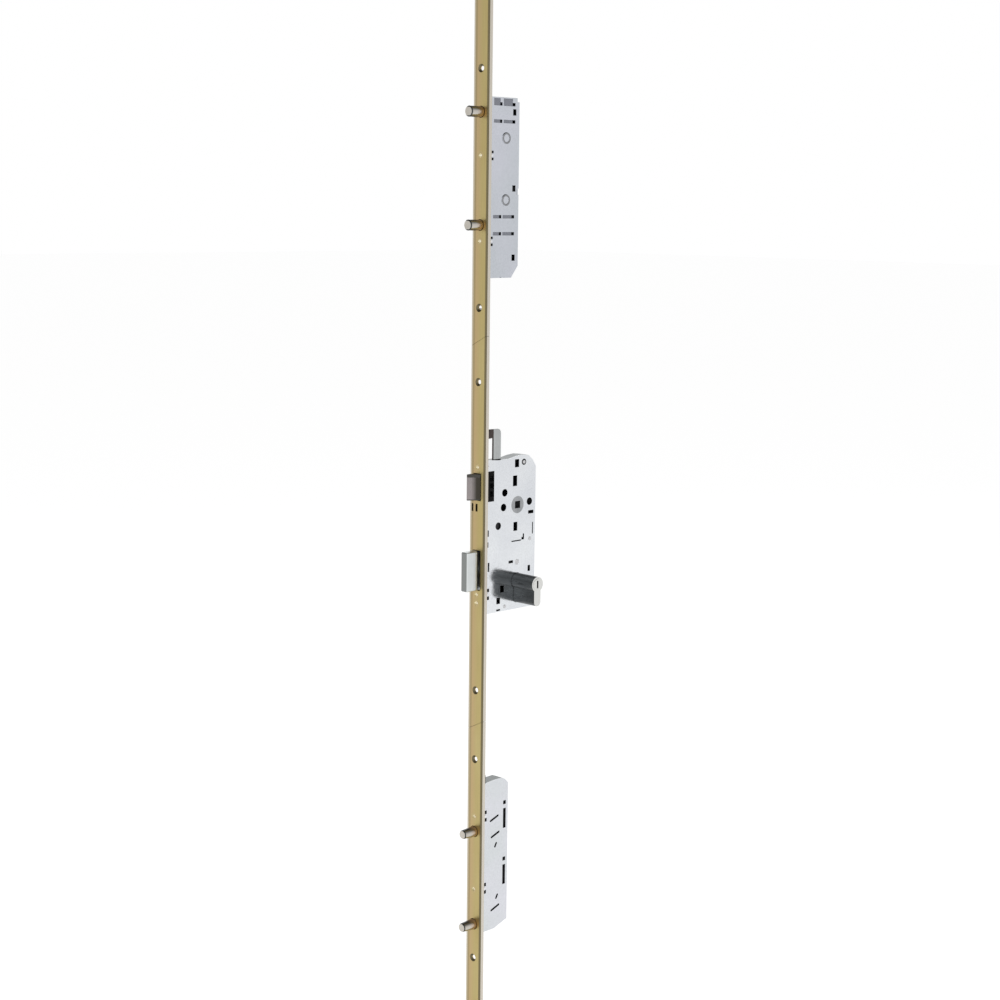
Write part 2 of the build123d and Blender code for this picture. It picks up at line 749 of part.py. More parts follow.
def make_main_slide():
    """Main drive slide: hooked top end, slanted slot for the deadbolt, rack, and foot to the lower rod."""
    plate_front = deadbolt_stud_x - stud_dia / 2 - slot_margin
    plate_low = gear_z - rack_overlap
    plate_high = deadbolt_stud_height + drive_travel + stud_dia / 2 + slot_margin
    rack_high = gear_z + drive_travel + rack_overlap
    hook_top = centre_high + hook_above_case
    hook_back_x = hook_front_x + hook_width
    lug_back_x = rod_back_x + lug_length
    shape = Sketch() + [
        rect(hook_front_x, hook_back_x, plate_high - slot_margin, hook_top),
        rect(lug_back_x, hook_front_x + hook_width / 2, hook_top - hook_arm_height, hook_top),
        rect(lug_back_x - tongue_length, lug_back_x, hook_top - hook_arm_height + tongue_inset,
             hook_top - tongue_inset),
        rect(plate_front, rack_x - dedendum, plate_low, plate_high),
        rect(plate_front, foot_bar_back_x, lower_rod_top - centre_foot_height, plate_low),
        rect(rod_back_x, foot_bar_back_x, lower_rod_top - centre_foot_height, lower_rod_top),
        rect(rod_front_x, rod_back_x, lower_rod_top - centre_foot_height + tongue_inset,
             lower_rod_top - tongue_inset),
    ]
    slide = slab(shape, slide_low_y, slide_high_y)
    corner = slide.edges().filter_by(Axis.Y).group_by(Axis.Z)[-1].sort_by(Axis.X)[-1]
    slide = fillet(corner, hook_rounding)
    slide += slab(rack_teeth(plate_low, min(rack_high, plate_high)), slide_low_y, slide_high_y)
    slot = slanted_slot(deadbolt_stud_x, deadbolt_stud_height, deadbolt_throw, drive_travel,
                        stud_dia + pin_play * 2)
    return slide - slab(slot, slide_low_y - overrun, slide_high_y + overrun)


# Gear train
def involute(angle):
    """Involute function of a pressure angle in radians."""
    return math.tan(angle) - angle


def gear_outline(teeth, x, z, first_angle):
    """Toothed outline with involute flanks and one tooth centred on first_angle."""
    pitch_radius = gear_module * teeth / 2
    base = pitch_radius * math.cos(math.radians(pressure_angle))
    root, tip = pitch_radius - dedendum, pitch_radius + addendum
    low = max(base, root)
    radii = [root] + [low + (tip - low) * step / flank_steps for step in range(flank_steps + 1)]
    at_pitch = math.pi / (2 * teeth) - backlash / (2 * pitch_radius)
    at_pitch += involute(math.radians(pressure_angle))
    points = []
    for tooth in range(teeth):
        middle = math.radians(first_angle) + 2 * math.pi * tooth / teeth
        sides = []
        for radius in radii:
            lean = involute(math.acos(base / max(radius, base)))
            sides.append((radius, at_pitch - lean))
        for radius, half in sides:
            points.append((x + radius * math.cos(middle - half), z + radius * math.sin(middle - half)))
        for radius, half in reversed(sides):
            points.append((x + radius * math.cos(middle + half), z + radius * math.sin(middle + half)))
    return outline(*points)


def rack_teeth(z_low, z_high):
    """Row of rack teeth that mesh with the pinion, within two heights."""
    pitch = math.pi * gear_module
    lean = math.tan(math.radians(pressure_angle))
    half_tip = pitch / 4 - backlash / 2 - addendum * lean
    half_root = pitch / 4 - backlash / 2 + dedendum * lean
    teeth = []
    first = math.ceil((z_low + half_root - gear_z) / pitch - 1 / 2)
    last = math.floor((z_high - half_root - gear_z) / pitch - 1 / 2)
    for step in range(first, last + 1):
        z = gear_z + pitch * (step + 1 / 2)
        teeth.append(outline((rack_x - dedendum, z - half_root), (rack_x + addendum, z - half_tip),
                             (rack_x + addendum, z + half_tip), (rack_x - dedendum, z + half_root)))
    return Sketch() + teeth


def make_drive_gear():
    """Double gear: a wheel in mesh with the cylinder's cam and a pinion in mesh with the rack."""
    wheel_low_y = carrier_low_y + deadbolt_tail_thick + layer_gap
    half_tooth = math.degrees(math.pi / wheel_teeth)
    wheel = slab(gear_outline(wheel_teeth, gear_x, gear_z, -half_turn / 2 + half_tooth),
                 wheel_low_y, wheel_low_y + gear_thick)
    pinion = slab(gear_outline(pinion_teeth, gear_x, gear_z, half_turn), slide_low_y, slide_high_y)
    hub = rod_y(gear_x, gear_z, slide_low_y - gear_end_play, inner_half - gear_end_play, gear_hub_dia)
    bore_dia = gear_axle_dia + shaft_play * 2
    bore = rod_y(gear_x, gear_z, -half_case, half_case, bore_dia)
    return wheel + pinion + hub - bore


def make_cylinder_cam():
    """Toothed cam between the cylinder's two plugs."""
    teeth = slab(gear_outline(cam_teeth, cylinder_x, cylinder_z, half_turn / 2),
                 -cam_hub_length / 2, cam_width / 2)
    hub = rod_y(cylinder_x, cylinder_z, -cam_width / 2, -cam_hub_length / 2, cam_hub_dia)
    return teeth + hub


# Profile cylinder
def make_cylinder_body():
    """Body of the profile cylinder, cut open in the middle for the cam."""
    body = slab(cylinder_profile(0), -cylinder_outer_length, cylinder_inner_length)
    cam_room = cam_radius + addendum + running_gap
    body -= block(cylinder_x - cylinder_round_dia, cylinder_x + cylinder_round_dia,
                  -cylinder_gap / 2, cylinder_gap / 2, cylinder_z - cam_room, cylinder_z + cylinder_round_dia)
    body -= rod_y(cylinder_x, cylinder_z, -cylinder_outer_length - overrun,
                  cylinder_inner_length + overrun, plug_dia + shaft_play * 2)
    return body - rod_x(cylinder_x - cylinder_web, cylinder_x + cylinder_web, 0,
                        cylinder_z - cylinder_screw_drop, cylinder_screw_dia + thread_play * 2)


def make_plug(side):
    """Plug with its keyway, on the outer (-1) or inner (+1) side."""
    length = cylinder_outer_length if side < 0 else cylinder_inner_length
    inner_y, outer_y = side * cylinder_gap / 2, side * (length + plug_proud)
    low_y, high_y = sorted((inner_y, outer_y))
    plug = rod_y(cylinder_x, cylinder_z, low_y, high_y, plug_dia)
    key_low, key_high = sorted((outer_y + side * overrun, outer_y - side * keyway_depth))
    key_top = cylinder_z + keyway_height / 2
    slot = block(cylinder_x - keyway_width / 2, cylinder_x + keyway_width / 2, key_low, key_high,
                 key_top - keyway_height, key_top)
    return plug - slot


def make_cylinder_screw():
    """Long screw from the faceplate into the cylinder's web."""
    return flat_screw(cylinder_z - cylinder_screw_drop, cylinder_screw_dia, fixing_head_dia,
                      cylinder_x + cylinder_web / 2)


# Latch
latch_back_x = latch_inside
latch_tail_low_y = follower_arm_thick / 2 + layer_gap
latch_stud_x = (cylinder_x + follower_contact_play
                + (follower_arm_half_width + follower_stud_dia / 2
                   - follower_stud_radius_on_arm * math.sin(math.radians(follower_arm_lean)))
                / math.cos(math.radians(follower_arm_lean)))
guide_low_z = latch_low - latch_play - guide_wall
guide_high_z = latch_high + latch_play + guide_wall
spring_z = latch_high - latch_spring_drop


def latch_section(back_x):
    """Plan of the latch: bevelled on the outer side of the door."""
    half = latch_thick / 2
    tip_x = front_x - latch_throw
    flat = latch_thick * latch_nose_share
    return Polygon((back_x, -half), (back_x, half), (tip_x, half), (tip_x, half - flat),
                   (front_x - latch_land, -half), align=None)


def make_latch_bolt():
    """Sprung latch head, slotted for its tail."""
    plan = Plane.XY.offset(latch_low) * latch_section(latch_back_x)
    head = extrude(plan, latch_height)
    head = fillet(head.edges().filter_by(Axis.Z).group_by(Axis.X)[0], latch_nose_rounding)
    rim = head.faces().sort_by(Axis.Z)
    head = chamfer(rim[-1].edges() + rim[0].edges(), latch_edge_chamfer)
    return head - latch_tail_plate(0)


def latch_tail_plate(play):
    """Flat tail of the latch, grown by a play."""
    z = follower_stud_radius_on_arm
    return block(latch_back_x - latch_tail_grip, latch_stud_x + follower_stud_dia, latch_tail_low_y - play,
                 latch_tail_low_y + latch_tail_thick + play, z - latch_tail_height / 2 - play,
                 z + latch_tail_height / 2 + play)


def make_latch_tail():
    """Latch tail with the stud that the follower's arm pulls back."""
    stud = rod_y(latch_stud_x, follower_stud_radius_on_arm, -follower_arm_thick / 2, latch_tail_low_y,
                 follower_stud_dia)
    return latch_tail_plate(0) + stud


def make_latch_guide():
    """Black plastic guide that holds the latch behind the faceplate."""
    half_y = half_case
    guide = block(0, guide_depth, -half_y, half_y, guide_low_z, guide_high_z)
    guide -= block(-overrun, guide_depth + overrun, -latch_thick / 2 - guide_play,
                   latch_thick / 2 + guide_play, latch_low - guide_play, latch_high + guide_play)
    for low_share, high_share in guide_rib_shares:
        height = guide_high_z - guide_low_z
        guide -= block(guide_depth * guide_window_share, guide_depth + overrun, -half_y - overrun,
                       -latch_thick / 2, guide_low_z + height * low_share, guide_low_z + height * high_share)
    guide -= block(-overrun, guide_depth + overrun, inner_half, half_y + overrun,
                   guide_low_z - overrun, guide_high_z + overrun)
    return guide


def wound_spring(x_low, x_high, y, z, diameter, wire, turns):
    """Coil spring along X, wound as one tube."""
    radius = (diameter - wire) / 2
    length = x_high - x_low - wire
    path = Helix(length / turns, length, radius)
    section = Plane(path @ 0, z_dir=path % 0) * Circle(wire / 2)
    coil = sweep(section, path)
    return Pos(x_low + wire / 2, y, z) * Rot(0, right_angle, 0) * coil


def make_latch_spring():
    """Spring that pushes the latch out, from its back to the stop in the case."""
    return wound_spring(latch_back_x + layer_gap, latch_back_x + latch_spring_length, latch_spring_y, spring_z,
                        latch_spring_dia, latch_spring_wire, latch_spring_turns)


# Follower
def arm_shape(length, half_width, turn):
    """Straight arm from the spindle's axis, turned from straight up."""
    bar = rect(-half_width, half_width, 0, length - half_width)
    bar += Pos(0, length - half_width) * Circle(half_width)
    return Pos(cylinder_x, 0) * Rot(0, 0, turn) * bar


def make_follower():
    """Spindle hub with square hole, latch arm and return arm."""
    hub_half = inner_half - layer_gap
    hub = rod_y(cylinder_x, 0, -hub_half, hub_half, follower_hub_dia)
    hub += rod_y(cylinder_x, 0, -half_case, half_case, follower_journal_dia)
    half_arm = follower_arm_thick / 2
    arm = arm_shape(follower_arm_length, follower_arm_half_width, follower_arm_lean)
    hub += slab(arm, -half_arm, half_arm)
    hub += slab(arm_shape(return_arm_length, return_arm_half_width, half_turn), -half_arm, half_arm)
    square = Pos(cylinder_x, 0) * Rectangle(spindle_square, spindle_square)
    return hub - slab(square, -half_case - overrun, half_case + overrun)


def make_follower_spring():
    """Return spring between the follower's lower arm and a stop in the case."""
    high_x = cylinder_x - return_arm_half_width - layer_gap
    return wound_spring(high_x - return_spring_length, high_x, 0, -return_spring_drop,
                        return_spring_dia, follower_spring_wire, return_spring_turns)


def spring_stops():
    """Studs on the pan that the two springs push against."""
    latch_stop_x = latch_back_x + latch_spring_length + layer_gap + spring_stop_dia / 2
    return_stop_x = (cylinder_x - return_arm_half_width - layer_gap * 2 - return_spring_length
                     - spring_stop_dia / 2)
    places = ((latch_stop_x, spring_z), (return_stop_x, -return_spring_drop))
    return [rod_y(x, z, -spring_stop_reach, inner_half, spring_stop_dia) for x, z in places]


# Deadbolt
def make_deadbolt():
    """Solid deadbolt, recessed behind its head on the side of the drive slide."""
    head_back = front_x - deadbolt_root_length
    half = deadbolt_thick / 2
    head = block(front_x - deadbolt_throw, head_back, -half, half, deadbolt_low, deadbolt_high)
    head = fillet(head.edges().filter_by(Axis.Z).group_by(Axis.X)[0], deadbolt_rounding)
    head = chamfer(head.faces().sort_by(Axis.Z)[-1].edges() + head.faces().sort_by(Axis.Z)[0].edges(),
                   deadbolt_edge_chamfer)
    root = block(head_back, deadbolt_inside, carrier_low_y, half, deadbolt_low, deadbolt_high)
    return head + root - deadbolt_tail_plate()


def deadbolt_tail_plate():
    """Plate let into the back of the deadbolt."""
    z = deadbolt_stud_height
    return block(deadbolt_inside - tail_grip, deadbolt_stud_x + stud_dia, carrier_low_y,
                 carrier_low_y + deadbolt_tail_thick, z - carrier_width / 2, z + carrier_width / 2)


def make_deadbolt_tail():
    """Tail plate with the stud that runs in the main drive slide."""
    return deadbolt_tail_plate() + rod_y(deadbolt_stud_x, deadbolt_stud_height, slide_low_y - layer_gap,
                                         carrier_low_y, stud_dia)


# Rods
def rod_blank(z_low, z_high):
    """Flat drive rod behind the faceplate."""
    return block(rod_front_x, rod_back_x, rod_low_y, rod_high_y, z_low, z_high)


def make_upper_rod(main_slide, upper_slide):
    """Rod from the hook up to the upper case, with the lug that takes the hook's tongue."""
    rod = rod_blank(upper_rod_bottom, upper_rod_top)
    hook_top = centre_high + hook_above_case
    lug_low_y = rod_low_y + rod_width * lug_inset_share
    rod += block(rod_back_x, rod_back_x + lug_length, lug_low_y, rod_high_y + lug_cheek,
                 hook_top - hook_arm_height, hook_top - tongue_inset)
    return rod - main_slide - upper_slide


def make_lower_rod(main_slide, lower_slide):
    """Rod from the main slide's foot down to the lower case."""
    return rod_blank(lower_rod_bottom, lower_rod_top) - main_slide - lower_slide


# Faceplate
def faceplate_section(z_low, z_high, low_slant, high_slant):
    """Length of U-shaped faceplate with slanted or square ends, its flanges towards the door."""
    half = strip_width / 2
    shape = Polygon((-half, z_low + low_slant / 2), (half, z_low - low_slant / 2),
                    (half, z_high - high_slant / 2), (-half, z_high + high_slant / 2), align=None)
    plate = extrude(Plane.YZ.offset(front_x) * shape, strip_depth)
    plate -= block(0, strip_depth, -half + flange_thick, half - flange_thick, z_low - seam_slant,
                   z_high + seam_slant)
    long_edges = plate.faces().sort_by(Axis.X)[0].edges().sort_by(SortBy.LENGTH)[-2:]
    return chamfer(long_edges, strip_edge_chamfer)


def screw_holes(z_low, z_high):
    """Cutters for the fixing, case and cylinder screws between two heights."""
    cutters = [countersunk_hole(z, fixing_hole_dia, fixing_head_dia)
               for z in fixing_heights if z_low < z < z_high]
    cutters += [countersunk_hole(z, case_screw_dia, case_screw_head_dia)
                for z in case_screw_heights() if z_low < z < z_high]
    return cutters


def case_screw_heights():
    """Heights of the six screws that hold the cases."""
    return (*upper_blocks, *centre_blocks, *lower_blocks)


def bolt_holes(heights, diameter):
    """Cutters for the round bolts."""
    return [rod_x(front_x - overrun, overrun, 0, z, diameter + running_gap * 2) for z in heights]


def blind_rivet_holes(seam_z):
    """Blind holes in the back of the faceplate for a joint plate's rivets."""
    depth = strip_thick * blind_hole_share
    return [rod_x(-depth, overrun, y, z, joint_rivet_dia) for y, z in joint_rivet_places(seam_z)]


def joint_rivet_places(seam_z):
    """Rivet centres of one joint plate, as Y and Z."""
    y = joint_plate_middle_y()
    return [(y, seam_z + joint_plate_length * share) for share in joint_rivet_shares]


def joint_plate_middle_y():
    """Middle of the joint plates, beside the rods."""
    return rod_high_y + running_gap * 2 + joint_plate_width / 2


upper_seam_z = upper_case_low - seam_below_upper_case
lower_seam_z = -lower_seam_depth


def make_upper_faceplate():
    """Faceplate from the upper seam to the top."""
    plate = faceplate_section(upper_seam_z + seam_gap / 2, strip_above_spindle, seam_slant, 0)
    plate -= screw_holes(upper_seam_z, strip_above_spindle)
    plate -= bolt_holes((upper_low_bolt_height, upper_high_bolt), upper_bolt_dia)
    return plate - blind_rivet_holes(upper_seam_z)


def make_lower_faceplate():
    """Faceplate from the bottom to the lower seam."""
    plate = faceplate_section(-strip_below_spindle, lower_seam_z - seam_gap / 2, 0, seam_slant)
    plate -= screw_holes(-strip_below_spindle, lower_seam_z)
    plate -= bolt_holes((lower_low_bolt, lower_high_bolt), lower_bolt_dia)
    return plate - blind_rivet_holes(lower_seam_z)


def make_centre_faceplate():
    """Faceplate between the seams, with the latch, deadbolt and key-hole openings."""
    plate = faceplate_section(lower_seam_z + seam_gap / 2, upper_seam_z - seam_gap / 2,
                              seam_slant, seam_slant)
    plate -= screw_holes(lower_seam_z, upper_seam_z)
    plate -= countersunk_hole(cylinder_z - cylinder_screw_drop, cylinder_screw_dia, fixing_head_dia)
    half = latch_thick / 2 + latch_play
    plate -= block(front_x - overrun, overrun, -half, half, latch_low - latch_play, latch_high + latch_play)
    half = deadbolt_thick / 2 + deadbolt_opening_play
    plate -= block(front_x - overrun, overrun, -half, half, deadbolt_low - running_gap,
                   deadbolt_high + running_gap)
    top = latch_low - latch_window_gap
    for low_share, high_share in latch_window_shares:
        plate -= block(front_x - overrun, overrun, strip_width * low_share, strip_width * high_share,
                       top - latch_window_height, top)
    return plate - blind_rivet_holes(upper_seam_z) - blind_rivet_holes(lower_seam_z)


def make_joint_plates():
    """Two plates that join the faceplate's lengths from behind."""
    plates = []
    middle = joint_plate_middle_y()
    for seam_z in (lower_seam_z, upper_seam_z):
        plate = block(0, joint_plate_thick, middle - joint_plate_width / 2, middle + joint_plate_width / 2,
                      seam_z - joint_plate_length / 2, seam_z + joint_plate_length / 2)
        for y, z in joint_rivet_places(seam_z):
            plate -= rod_x(-overrun, joint_plate_thick + overrun, y, z, joint_rivet_dia)
        plates.append(plate)
    return Compound(children=plates)


def make_joint_rivets():
    """Blind rivets of the joint plates."""
    rivets = []
    for seam_z in (lower_seam_z, upper_seam_z):
        for y, z in joint_rivet_places(seam_z):
            shank = rod_x(-strip_thick * blind_hole_share, joint_plate_thick, y, z, joint_rivet_dia)
            head = rod_x(joint_plate_thick, joint_plate_thick + joint_rivet_head_height, y, z,
                         joint_rivet_head_dia)
            rivets.append(shank + head)
    return Compound(children=rivets)


def make_case_screws():
    """Six countersunk screws through the faceplate into the fixing blocks."""
    tip_x = block_depth - running_gap
    return Compound(children=[flat_screw(z, case_screw_dia, case_screw_head_dia, tip_x)
                              for z in case_screw_heights()])


def make_blocks(heights):
    """Fixing blocks of one case."""
    return Compound(children=[fixing_block(z) for z in heights])


def build_nodes():
    """Every piece of the lock, by name."""
    main_slide = make_main_slide()
    upper_slide = make_upper_slide()
    lower_slide = make_lower_slide()
    nodes = {
        "upper_faceplate": make_upper_faceplate(),
        "centre_faceplate": make_centre_faceplate(),
        "lower_faceplate": make_lower_faceplate(),
        "joint_plates": make_joint_plates(),
        "joint_rivets": make_joint_rivets(),
        "case_screws": make_case_screws(),
        "upper_case_body": make_upper_case_body(),
        "upper_case_cover": make_upper_case_cover(),
        "upper_case_blocks": make_blocks(upper_blocks),
        "centre_case_body": make_centre_case_body() + spring_stops(),
        "centre_case_cover": make_centre_case_cover(),
        "centre_case_blocks": make_blocks(centre_blocks),
        "centre_case_posts": make_centre_posts(),
        "lower_case_body": make_lower_case_body(),
        "lower_case_cover": make_lower_case_cover(),
        "lower_case_blocks": make_blocks(lower_blocks),
        "latch_guide": make_latch_guide(),
        "latch_bolt": make_latch_bolt(),
        "latch_tail": make_latch_tail(),
        "latch_spring": make_latch_spring(),
        "follower": make_follower(),
        "follower_spring": make_follower_spring(),
        "deadbolt": make_deadbolt(),
        "deadbolt_tail": make_deadbolt_tail(),
        "main_drive_slide": main_slide,
        "upper_drive_slide": upper_slide,
        "lower_drive_slide": lower_slide,
        "upper_drive_rod": make_upper_rod(main_slide, upper_slide),
        "lower_drive_rod": make_lower_rod(main_slide, lower_slide),
        "drive_gear": make_drive_gear(),
        "cylinder_cam": make_cylinder_cam(),
        "cylinder_body": make_cylinder_body(),
        "outer_plug": make_plug(-1),
        "inner_plug": make_plug(1),
        "cylinder_screw": make_cylinder_screw(),
    }
    upper = (upper_bolt_dia, upper_bolt_nose_dia, upper_bolt_nose_length, upper_bolt_throw,
             upper_bolt_dia, upper_bolt_root_dia)
    lower = (lower_bolt_tip_dia, lower_bolt_nose_dia, lower_bolt_nose_length, lower_bolt_throw,
             lower_bolt_dia, lower_bolt_dia)
    bolts = (
        ("upper_high", upper_high_bolt, upper_studs[1], upper),
        ("upper_low", upper_low_bolt_height, upper_studs[0], upper),
        ("lower_high", lower_high_bolt, lower_studs[1], lower),
        ("lower_low", lower_low_bolt, lower_studs[0], lower),
    )
    for name, z, stud_z, sizes in bolts:
        nodes[name + "_bolt"] = round_bolt(z, *sizes)
        nodes[name + "_carrier"] = bolt_carrier(z, stud_z)
    return nodes


os.makedirs("parts", exist_ok=True)
for node_name, solid in build_nodes().items():
    export_step(solid, os.path.join("parts", node_name + ".step"))
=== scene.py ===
"""Looks of a multipoint door lock: a brass-coloured strip with three sheet-steel lock cases.

Lengths are in metres in the lock's own frame: +X into the door, +Y to its inner side, +Z up.
"""
import json
import logging
import math
from dataclasses import dataclass, field, replace
from enum import Enum

import bmesh
import bpy
from mathutils import Matrix, Vector

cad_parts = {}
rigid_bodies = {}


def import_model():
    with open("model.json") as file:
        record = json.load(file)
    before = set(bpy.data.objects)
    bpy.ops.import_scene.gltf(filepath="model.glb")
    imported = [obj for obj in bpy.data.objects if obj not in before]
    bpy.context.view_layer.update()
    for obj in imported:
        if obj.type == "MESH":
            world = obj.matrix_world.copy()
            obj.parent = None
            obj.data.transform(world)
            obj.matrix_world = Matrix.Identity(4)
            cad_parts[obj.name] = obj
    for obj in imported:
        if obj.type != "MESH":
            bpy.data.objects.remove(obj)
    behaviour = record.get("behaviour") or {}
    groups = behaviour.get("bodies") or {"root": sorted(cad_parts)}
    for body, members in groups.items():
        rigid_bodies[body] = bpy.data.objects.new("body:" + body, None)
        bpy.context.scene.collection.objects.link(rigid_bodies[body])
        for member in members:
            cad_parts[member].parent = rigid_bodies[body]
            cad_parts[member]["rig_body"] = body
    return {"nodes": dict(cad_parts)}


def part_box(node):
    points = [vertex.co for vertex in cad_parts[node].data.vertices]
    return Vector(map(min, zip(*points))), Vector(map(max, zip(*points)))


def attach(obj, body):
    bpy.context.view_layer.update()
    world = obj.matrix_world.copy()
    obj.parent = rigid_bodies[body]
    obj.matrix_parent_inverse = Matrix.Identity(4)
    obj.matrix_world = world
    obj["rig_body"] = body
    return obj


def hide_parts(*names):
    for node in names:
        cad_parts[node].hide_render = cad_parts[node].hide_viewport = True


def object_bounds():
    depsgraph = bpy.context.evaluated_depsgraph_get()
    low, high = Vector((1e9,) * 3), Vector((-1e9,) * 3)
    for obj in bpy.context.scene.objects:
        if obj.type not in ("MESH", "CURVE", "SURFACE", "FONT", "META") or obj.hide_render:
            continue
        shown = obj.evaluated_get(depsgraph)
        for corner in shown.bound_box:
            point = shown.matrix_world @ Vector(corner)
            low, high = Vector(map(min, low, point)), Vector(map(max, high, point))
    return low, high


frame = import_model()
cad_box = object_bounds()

Colour = tuple[float, float, float]
log = logging.getLogger("door_lock")

MM = 0.001
NOISE_LOW = 0.3
NOISE_HIGH = 0.7
BUMP_HEIGHT = 0.2 * MM
FINE_STEPS = 3


class Grain(Enum):
    """Way in which a finish's fine lines run, as the stretch of its noise along X, Y and Z."""

    EVEN = (1.0, 1.0, 1.0)
    ALONG_Z = (1.0, 1.0, 0.02)
    ALONG_Y = (1.0, 0.03, 1.0)


class Along(Enum):
    """Axis that a band of a finish is measured on."""

    X = "X"
    Y = "Y"
    Z = "Z"


class Tree:
    """The nodes of a new material or world, and the calls that add and join them."""

    def __init__(self, owner: bpy.types.Material | bpy.types.World) -> None:
        """Empties the node tree of a material or world.

        Args:
            owner: The material or world that the nodes belong to.
        """
        owner.use_nodes = True
        self.owner = owner
        self.nodes = owner.node_tree.nodes
        self.links = owner.node_tree.links
        self.nodes.clear()

    def add(self, kind: str, settings: dict | None = None, **inputs: object) -> bpy.types.Node:
        """Adds a node.

        Args:
            kind: The node's type name.
            settings: Properties to set on the node.
            **inputs: Socket values or output sockets, by socket name with spaces as underscores.

        Returns:
            The new node.
        """
        node = self.nodes.new(kind)
        for name, value in (settings or {}).items():
            setattr(node, name, value)
        for name, value in inputs.items():
            self.feed(node.inputs[name.replace("_", " ")], value)
        return node

    def feed(self, socket: bpy.types.NodeSocket, value: object) -> None:
        """Gives a socket a value, or a link from another node's output.

        Args:
            socket: The input socket.
            value: A number, a colour or an output socket.
        """
        if isinstance(value, bpy.types.NodeSocket):
            self.links.new(value, socket)
        elif isinstance(value, tuple) and len(value) == 3 and socket.type == "RGBA":
            socket.default_value = (*value, 1.0)
        else:
            socket.default_value = value

    def math(self, operation: str, first: object, second: object = 0.0,
             third: object = 0.0) -> bpy.types.NodeSocket:
        """Works on up to three numbers.

        Args:
            operation: The name of the math node's operation.
            first: A number or an output socket.
            second: A number or an output socket.
            third: A number or an output socket.

        Returns:
            The result's output socket.
        """
        node = self.add("ShaderNodeMath", {"operation": operation})
        for socket, value in zip(node.inputs, (first, second, third)):
            self.feed(socket, value)
        return node.outputs[0]

    def mix(self, share: object, first: object, second: object) -> bpy.types.NodeSocket:
        """Mixes two colours.

        Args:
            share: The share of the second colour, as a number or an output socket.
            first: A colour or an output socket.
            second: A colour or an output socket.

        Returns:
            The mixed colour's output socket.
        """
        node = self.add("ShaderNodeMix", {"data_type": "RGBA"})
        for socket, value in zip(node.inputs[:1] + node.inputs[6:8], (share, first, second)):
            self.feed(socket, value)
        return node.outputs[2]

    def blend(self, share: object, first: object, second: object) -> bpy.types.NodeSocket:
        """Mixes two numbers.

        Args:
            share: The share of the second number, as a number or an output socket.
            first: A number or an output socket.
            second: A number or an output socket.

        Returns:
            The mixed number's output socket.
        """
        node = self.add("ShaderNodeMix", {"data_type": "FLOAT"})
        for socket, value in zip(node.inputs[:1] + node.inputs[2:4], (share, first, second)):
            self.feed(socket, value)
        return node.outputs[0]

    def ramp(self, value: bpy.types.NodeSocket, start: tuple[float, float],
             end: tuple[float, float]) -> bpy.types.NodeSocket:
        """Maps a value evenly from one span to another, and holds it at the ends.

        Args:
            value: The output socket of the value.
            start: The value at the start and what it becomes.
            end: The value at the end and what it becomes.

        Returns:
            The mapped value's output socket.
        """
        node = self.add("ShaderNodeMapRange", None, Value=value, From_Min=start[0], From_Max=end[0],
                        To_Min=start[1], To_Max=end[1])
        return node.outputs[0]

    def spread(self, noise: bpy.types.NodeSocket, low: float, high: float) -> bpy.types.NodeSocket:
        """Maps a noise's usual span to the span between two numbers."""
        return self.ramp(noise, (NOISE_LOW, low), (NOISE_HIGH, high))


@dataclass(frozen=True)
class Band:
    """A part of a piece, between two places on an axis, finished differently or painted with light
    or shade.

    A band that fades comes in slowly from its start, and stays past its end.
    """

    axis: Along
    start: float
    end: float
    colour: Colour
    roughness: float
    metallic: float = 1.0
    both_sides: bool = False
    fades: bool = False

    def share(self, tree: Tree, axes: bpy.types.Node) -> bpy.types.NodeSocket:
        """Adds the nodes that are 1 inside the band and 0 outside.

        Args:
            tree: The material's tree.
            axes: The node that gives the three object coordinates.

        Returns:
            The share's output socket.
        """
        place = axes.outputs[self.axis.value]
        if self.both_sides:
            place = tree.math("ABSOLUTE", place)
        if self.fades:
            return tree.ramp(place, (self.start, 0.0), (self.end, 1.0))
        middle, half = (self.start + self.end) / 2, (self.end - self.start) / 2
        return tree.math("COMPARE", place, middle, half)


